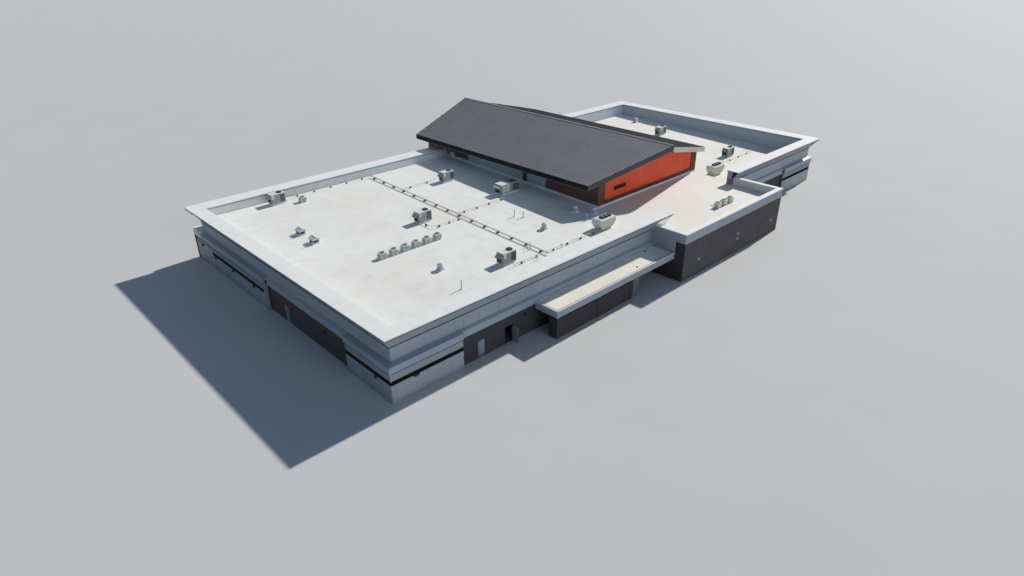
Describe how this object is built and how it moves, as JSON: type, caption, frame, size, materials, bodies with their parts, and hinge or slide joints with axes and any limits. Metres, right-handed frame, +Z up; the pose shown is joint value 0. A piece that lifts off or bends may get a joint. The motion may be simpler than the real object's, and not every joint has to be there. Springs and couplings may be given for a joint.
{
  "type": "travel center building, 1:10 scale model",
  "caption": "Large single-storey travel center with flat parapet roofs, a dark service block and a raised gable hall; scale model.",
  "frame": {"origin": "middle of the ground footprint's bounding box, on the ground the building stands on", "axes": "+X along the long service side towards the wing, +Y from the service side to the customer front, +Z up"},
  "size_m": [10.415, 6.439, 1.434],
  "materials": {
    "concrete": "rough concrete, broom finished",
    "light_siding": "light grey painted panels, matt",
    "dark_masonry": "charcoal brown split-face block, matt",
    "door_metal": "light grey painted steel door",
    "steel": "black painted steel",
    "grey_cornice": "mid grey ribbed metal band",
    "white_coping": "white sheet coping",
    "glass": "tinted storefront glass",
    "roof_membrane": "white roof membrane, dusty",
    "wood_cladding": "brown vertical wood boards",
    "grey_siding": "grey vertical siding",
    "orange_panel": "orange red painted panels",
    "dark_metal_roof": "charcoal standing seam metal",
    "unit_metal": "grey green painted sheet steel",
    "unit_cream": "cream painted sheet steel",
    "fan_metal": "mill aluminium",
    "pipe_metal": "galvanised pipe",
    "black_plastic": "black rubber support blocks"
  },
  "bodies": {
    "building": {"band_ends": "light_siding", "band_service_side": "light_siding", "block_masonry": "dark_masonry", "block_parapet": "light_siding", "condensers": "unit_metal", "coping_ends": "white_coping", "cornice_front": "white_coping", "cornice_service_side": "grey_cornice", "door_hinges": "steel", "door_lintels": "dark_masonry", "exhaust_fans": "fan_metal", "floor_slab": "concrete", "front_brackets": "steel", "front_glass": "glass", "front_ledge_roof": "light_siding", "front_piers": "dark_masonry", "front_rails": "dark_masonry", "gable_end_panel": "orange_panel", "gable_front_glass": "glass", "gable_roof_left": "dark_metal_roof", "gable_roof_right": "dark_metal_roof", "gable_siding_walls": "grey_siding", "gable_wood_piers": "wood_cladding", "gable_wood_walls": "wood_cladding", "kitchen_units": "unit_cream", "main_masonry": "dark_masonry", "main_siding": "light_siding", "pipe_supports": "black_plastic", "roof_deck_main": "roof_membrane", "roof_deck_service": "roof_membrane", "roof_deck_wing": "roof_membrane", "roof_pipes": "pipe_metal", "rooftop_units": "unit_metal", "service_canopy": "light_siding", "upper_walls_ends": "light_siding", "upper_walls_front": "light_siding", "upper_walls_service_side": "light_siding", "wing_masonry": "dark_masonry", "wing_siding": "light_siding", "yard_gate_panel": "door_metal", "yard_wall": "dark_masonry"},
    "left_door": {"left_door": "door_metal"},
    "service_door": {"service_door": "door_metal"},
    "yard_door": {"yard_door": "door_metal"}
  },
  "joints": [
    {"name": "left_door_hinge", "type": "hinge", "parent": "building", "child": "left_door", "pos_m": [-5.112, -0.2855, 0], "axis": [0, 0, 1], "range_deg": [-90, 0]},
    {"name": "service_door_hinge", "type": "hinge", "parent": "building", "child": "service_door", "pos_m": [-3.9275, -2.675, 0], "axis": [0, 0, 1], "range_deg": [-90, 0]},
    {"name": "yard_door_hinge", "type": "hinge", "parent": "building", "child": "yard_door", "pos_m": [-3.3775, -2.675, 0], "axis": [0, 0, 1], "range_deg": [-88, 0]}
  ]
}
